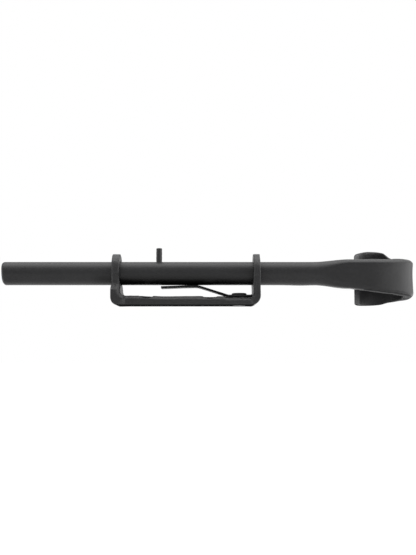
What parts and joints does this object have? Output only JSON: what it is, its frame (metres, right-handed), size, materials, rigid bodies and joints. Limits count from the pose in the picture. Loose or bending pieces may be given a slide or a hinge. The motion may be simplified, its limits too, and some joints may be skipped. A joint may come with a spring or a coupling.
{
  "type": "sliding bolt",
  "caption": "Forged sliding door bolt: a round rod with a curled, flared pull loop runs through a U-shaped strap bracket, held by a stop pin and a riveted leaf spring.",
  "frame": {"origin": "middle of the underside of the bracket's base, which is the face that lies on the door", "axes": "+X along the rod from its nose to the pull loop, +Z away from the door, +Y the side that the loop curls to"},
  "size_m": [0.2268, 0.0418, 0.0317],
  "materials": {
    "forged_rod": "satin black coat over forged iron",
    "pin_steel": "satin black coat",
    "forged_strap": "satin black coat over hammered iron",
    "spring_steel": "blackened spring steel",
    "rivet_iron": "satin black coat"
  },
  "bodies": {
    "frame": {"bracket": "forged_strap", "leaf_spring": "spring_steel", "spring_rivet": "rivet_iron"},
    "bolt": {"bolt_rod": "forged_rod", "stop_pin": "pin_steel"}
  },
  "joints": [
    {"name": "bolt_slide", "type": "slide", "parent": "frame", "child": "bolt", "axis": [1, 0, 0], "range_m": [-0.0192, 0.0494]}
  ]
}
